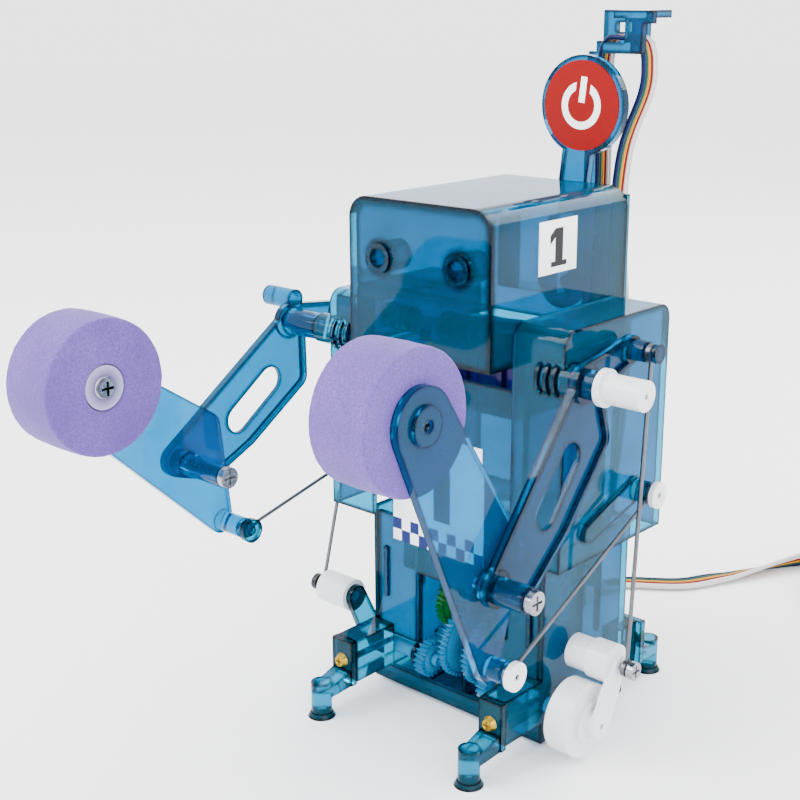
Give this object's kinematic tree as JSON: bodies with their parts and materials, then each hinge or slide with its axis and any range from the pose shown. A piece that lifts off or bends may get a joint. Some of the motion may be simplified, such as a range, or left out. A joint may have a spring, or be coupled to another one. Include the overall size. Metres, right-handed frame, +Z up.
{
  "type": "boxing robot kit",
  "caption": "Clear blue wired boxing robot with foam gloves on linkage arms, an internal gear train, a swinging power paddle and a ribbon cable over a rear hook.",
  "frame": {"origin": "on the floor, midway between the four feet", "axes": "+Z up, the robot faces -Y, its left arm is on +X"},
  "size_m": [0.209, 0.3545, 0.228],
  "materials": {
    "clear_blue": "transparent, polished",
    "white_plastic": "smooth",
    "label": "printed film",
    "violet_plastic": "transparent",
    "green_plastic": "translucent",
    "pale_blue_plastic": "translucent",
    "steel": "bright",
    "black_steel": "black oxide",
    "brass": "bright",
    "foam": "fine-celled foam",
    "red_label": "printed film",
    "ribbon": "bonded insulated wires",
    "black_plastic": "moulded"
  },
  "bodies": {
    "torso": {"lower_body": "clear_blue", "upper_body": "clear_blue", "front_cover": "clear_blue", "chest_label": "label", "shoulder_box_left": "clear_blue", "shoulder_box_right": "clear_blue", "head_cover": "clear_blue", "head_label": "label", "neck_block": "violet_plastic", "neck_shaft": "clear_blue", "foot_front_left": "clear_blue", "foot_front_right": "clear_blue", "foot_rear_left": "clear_blue", "foot_rear_right": "clear_blue", "foot_screws": "brass", "gearbox_centre_plate": "clear_blue", "gearbox_side_left": "clear_blue", "gearbox_side_right": "clear_blue", "idler_axles": "steel", "motor_left": "steel", "motor_right": "steel", "shoulder_sleeve_left": "white_plastic", "bracket_caps": "white_plastic", "indicator_housing": "clear_blue", "cable_hook": "clear_blue", "ribbon_run": "ribbon", "ribbon_coil": "ribbon", "ribbon_plug": "black_plastic"},
    "paddle": {"power_paddle": "clear_blue", "paddle_face": "red_label"},
    "left_upper": {"upper_arm_left": "clear_blue", "elbow_screw_left": "steel"},
    "left_fore": {"forearm_left": "clear_blue", "glove_left": "foam", "glove_screw_left": "steel", "tail_cap_left": "white_plastic"},
    "left_wire": {"long_wire_left": "steel"},
    "left_rod": {"short_rod_left": "steel"},
    "left_crank": {"output_shaft_left": "pale_blue_plastic", "crank_left": "white_plastic", "crank_sleeve_left": "white_plastic", "crank_screw_left": "steel"},
    "left_idler": {"idler_gear_left": "pale_blue_plastic"},
    "left_green": {"green_gear_left": "green_plastic"},
    "left_pinion": {"motor_pinion_left": "white_plastic"},
    "right_upper": {"upper_arm_right": "clear_blue", "elbow_screw_right": "steel"},
    "right_fore": {"forearm_right": "clear_blue", "glove_right": "foam", "glove_screw_right": "steel", "tail_cap_right": "clear_blue"},
    "right_wire": {"long_wire_right": "steel"},
    "right_rod": {"short_rod_right": "steel"},
    "right_crank": {"output_shaft_right": "pale_blue_plastic", "crank_right": "clear_blue", "crank_sleeve_right": "white_plastic", "crank_screw_right": "black_steel"},
    "right_idler": {"idler_gear_right": "pale_blue_plastic"},
    "right_green": {"green_gear_right": "green_plastic"},
    "right_pinion": {"motor_pinion_right": "white_plastic"}
  },
  "joints": [
    {"name": "paddle_swing", "type": "hinge", "parent": "torso", "child": "paddle", "pos_m": [-0.001, 0.038, 0.1375], "axis": [0, 1, 0], "range_deg": [0, 97]},
    {"name": "left_shoulder", "type": "hinge", "parent": "torso", "child": "left_upper", "pos_m": [0.0516, -0.0242, 0.1261], "axis": [-1, 0, 0], "range_deg": [0, 16]},
    {"name": "left_elbow", "type": "hinge", "parent": "left_upper", "child": "left_fore", "pos_m": [0.0465, -0.06396, 0.07557], "axis": [-1, 0, 0], "range_deg": [-33, 0]},
    {"name": "left_rod_pivot", "type": "hinge", "parent": "torso", "child": "left_rod", "pos_m": [0.0547, 0.0106, 0.0836], "axis": [-1, 0, 0], "range_deg": [0, 11.23]},
    {"name": "left_wire_pivot", "type": "hinge", "parent": "left_upper", "child": "left_wire", "pos_m": [0.0591, -0.0008, 0.13185], "axis": [-1, 0, 0], "range_deg": [-20.53, 0]},
    {"name": "left_crank_turn", "type": "hinge", "parent": "torso", "child": "left_crank", "pos_m": [0.047, -0.016, 0.0145], "axis": [-1, 0, 0], "range_deg": [0, 32.22]},
    {"name": "left_idler_turn", "type": "hinge", "parent": "torso", "child": "left_idler", "pos_m": [0.01, -0.0085, 0.0205], "axis": [-1, 0, 0], "range_deg": [-53.69, 0]},
    {"name": "left_green_turn", "type": "hinge", "parent": "torso", "child": "left_green", "pos_m": [0.01, -0.006, 0.03529], "axis": [-1, 0, 0], "range_deg": [0, 170.03]},
    {"name": "left_pinion_turn", "type": "hinge", "parent": "torso", "child": "left_pinion", "pos_m": [0.01, 0, 0.04705], "axis": [-1, 0, 0], "range_deg": [-578.09, 0]},
    {"name": "right_shoulder", "type": "hinge", "parent": "torso", "child": "right_upper", "pos_m": [-0.0706, -0.0242, 0.1261], "axis": [-1, 0, 0], "range_deg": [0, 12]},
    {"name": "right_elbow", "type": "hinge", "parent": "right_upper", "child": "right_fore", "pos_m": [-0.0651, -0.07668, 0.08894], "axis": [-1, 0, 0], "range_deg": [-24.5, 0]},
    {"name": "right_rod_pivot", "type": "hinge", "parent": "torso", "child": "right_rod", "pos_m": [-0.0518, 0.0106, 0.0836], "axis": [-1, 0, 0], "range_deg": [0, 11.38]},
    {"name": "right_wire_pivot", "type": "hinge", "parent": "right_upper", "child": "right_wire", "pos_m": [-0.0565, -0.00013, 0.12497], "axis": [-1, 0, 0], "range_deg": [-9.12, 0]},
    {"name": "right_crank_turn", "type": "hinge", "parent": "torso", "child": "right_crank", "pos_m": [-0.04, -0.016, 0.0145], "axis": [-1, 0, 0], "range_deg": [-19.96, 0]},
    {"name": "right_idler_turn", "type": "hinge", "parent": "torso", "child": "right_idler", "pos_m": [-0.01, -0.0085, 0.0205], "axis": [-1, 0, 0], "range_deg": [0, 33.27]},
    {"name": "right_green_turn", "type": "hinge", "parent": "torso", "child": "right_green", "pos_m": [-0.01, -0.006, 0.03529], "axis": [-1, 0, 0], "range_deg": [-105.36, 0]},
    {"name": "right_pinion_turn", "type": "hinge", "parent": "torso", "child": "right_pinion", "pos_m": [-0.01, 0, 0.04705], "axis": [-1, 0, 0], "range_deg": [0, 358.23]}
  ],
  "couplings": [
    {"joint": "left_elbow", "follows": "left_shoulder", "ratio": -2.022},
    {"joint": "left_rod_pivot", "follows": "left_shoulder", "ratio": 0.688},
    {"joint": "left_wire_pivot", "follows": "left_shoulder", "ratio": -1.258},
    {"joint": "left_crank_turn", "follows": "left_shoulder", "ratio": 1.974},
    {"joint": "left_idler_turn", "follows": "left_shoulder", "ratio": -3.29},
    {"joint": "left_green_turn", "follows": "left_shoulder", "ratio": 10.418},
    {"joint": "left_pinion_turn", "follows": "left_shoulder", "ratio": -35.422},
    {"joint": "right_elbow", "follows": "right_shoulder", "ratio": -2.002},
    {"joint": "right_rod_pivot", "follows": "right_shoulder", "ratio": 0.93},
    {"joint": "right_wire_pivot", "follows": "right_shoulder", "ratio": -0.745},
    {"joint": "right_crank_turn", "follows": "right_shoulder", "ratio": -1.631},
    {"joint": "right_idler_turn", "follows": "right_shoulder", "ratio": 2.7183},
    {"joint": "right_green_turn", "follows": "right_shoulder", "ratio": -8.6081},
    {"joint": "right_pinion_turn", "follows": "right_shoulder", "ratio": 29.267}
  ]
}
